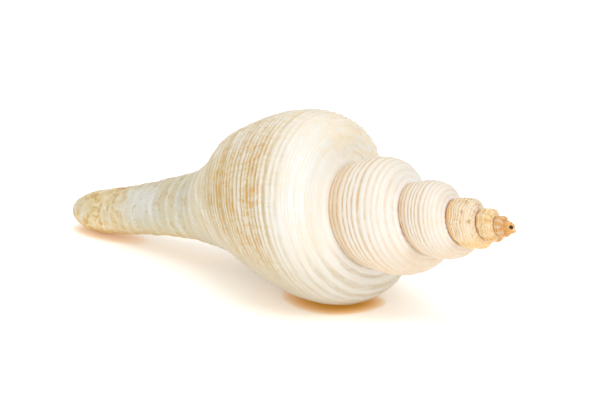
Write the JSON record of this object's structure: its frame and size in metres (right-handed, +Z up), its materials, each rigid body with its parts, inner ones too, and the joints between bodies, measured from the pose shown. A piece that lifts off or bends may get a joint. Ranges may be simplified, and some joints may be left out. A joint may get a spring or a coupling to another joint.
{
  "type": "conch shell",
  "caption": "Long-tailed spindle conch: a worn, right-handed coiled sea shell with a tall spire, spiral cords and a long open tail, lying on its mouth.",
  "frame": {"origin": "centre of the bounding box at the level the shell rests on", "axes": "+X towards the tip of the spire, along the shell; +Z up; the mouth opens down and towards +Y"},
  "size_m": [0.1542, 0.0536, 0.0483],
  "materials": {
    "shell": "satin"
  },
  "bodies": {
    "root": {"shell": "shell"}
  },
  "joints": []
}
